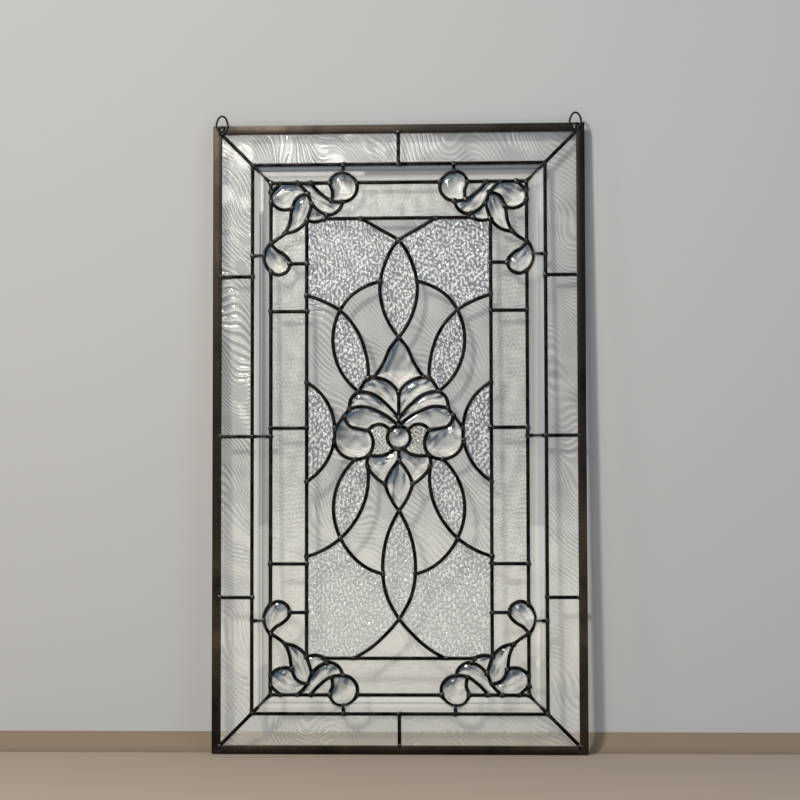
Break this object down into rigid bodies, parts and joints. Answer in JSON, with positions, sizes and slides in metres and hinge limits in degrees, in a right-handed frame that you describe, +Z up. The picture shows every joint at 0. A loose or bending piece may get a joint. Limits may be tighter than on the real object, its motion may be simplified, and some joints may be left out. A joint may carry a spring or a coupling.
{
  "type": "leaded glass window panel",
  "caption": "Upright leaded panel of clear bevelled, wavy and granite glass with scrolling corner sprays and a petal centre, in a dark metal frame with two hanging loops.",
  "frame": {"origin": "midway between the two hanging loops, at the height where a hook bears on the inside of their tops, in the plane of their wire", "axes": "+Z up along the panel's long side, +X to the right seen from the front, front of the panel towards -Y"},
  "size_m": [0.5207, 0.0107, 0.8916],
  "materials": {
    "lead_came": "blackened lead and solder with grey rubbed highlights",
    "frame_metal": "dark bronze patina, satin",
    "loop_wire": "blackened wire, satin",
    "wavy_glass": "clear baroque glass with swirling reams",
    "granite_glass": "clear granite glass, pebbled",
    "bevelled_glass": "clear polished bevelled glass",
    "fine_grain_glass": "clear glass with a fine seedy grain"
  },
  "bodies": {
    "root": {"bevel_strip_bottom": "bevelled_glass", "bevel_strip_bottom_left_corner": "bevelled_glass", "bevel_strip_bottom_right_corner": "bevelled_glass", "bevel_strip_left_lower": "bevelled_glass", "bevel_strip_left_lower_corner": "bevelled_glass", "bevel_strip_left_upper": "bevelled_glass", "bevel_strip_left_upper_corner": "bevelled_glass", "bevel_strip_right_lower": "bevelled_glass", "bevel_strip_right_lower_corner": "bevelled_glass", "bevel_strip_right_upper": "bevelled_glass", "bevel_strip_right_upper_corner": "bevelled_glass", "bevel_strip_top": "bevelled_glass", "bevel_strip_top_left_corner": "bevelled_glass", "bevel_strip_top_right_corner": "bevelled_glass", "came_network": "lead_came", "frame_bottom": "frame_metal", "frame_left": "frame_metal", "frame_right": "frame_metal", "frame_top": "frame_metal", "granite_glass_corner_lower_left": "granite_glass", "granite_glass_corner_lower_right": "granite_glass", "granite_glass_corner_upper_left": "granite_glass", "granite_glass_corner_upper_right": "granite_glass", "granite_glass_leaf_lower_left": "granite_glass", "granite_glass_leaf_lower_right": "granite_glass", "granite_glass_leaf_upper_left": "granite_glass", "granite_glass_leaf_upper_right": "granite_glass", "granite_glass_lower_lens": "granite_glass", "granite_glass_side_left": "granite_glass", "granite_glass_side_right": "granite_glass", "granite_glass_upper_lens": "granite_glass", "hanging_loop_left": "loop_wire", "hanging_loop_right": "loop_wire", "inner_band_glass_bottom": "fine_grain_glass", "inner_band_glass_left_lower": "fine_grain_glass", "inner_band_glass_left_upper": "fine_grain_glass", "inner_band_glass_right_lower": "fine_grain_glass", "inner_band_glass_right_upper": "fine_grain_glass", "inner_band_glass_top": "fine_grain_glass", "jewel_centre": "bevelled_glass", "outer_border_glass_bottom_left": "wavy_glass", "outer_border_glass_bottom_right": "wavy_glass", "outer_border_glass_left_lower": "wavy_glass", "outer_border_glass_left_lower_corner": "wavy_glass", "outer_border_glass_left_upper": "wavy_glass", "outer_border_glass_left_upper_corner": "wavy_glass", "outer_border_glass_right_lower": "wavy_glass", "outer_border_glass_right_lower_corner": "wavy_glass", "outer_border_glass_right_upper": "wavy_glass", "outer_border_glass_right_upper_corner": "wavy_glass", "outer_border_glass_top_left": "wavy_glass", "outer_border_glass_top_right": "wavy_glass", "wavy_glass_beside_lower_lens_left": "wavy_glass", "wavy_glass_beside_lower_lens_right": "wavy_glass", "wavy_glass_beside_upper_lens_left": "wavy_glass", "wavy_glass_beside_upper_lens_right": "wavy_glass", "wavy_glass_side_lower_left": "wavy_glass", "wavy_glass_side_lower_right": "wavy_glass", "wavy_glass_side_upper_left": "wavy_glass", "wavy_glass_side_upper_right": "wavy_glass"}
  },
  "joints": []
}
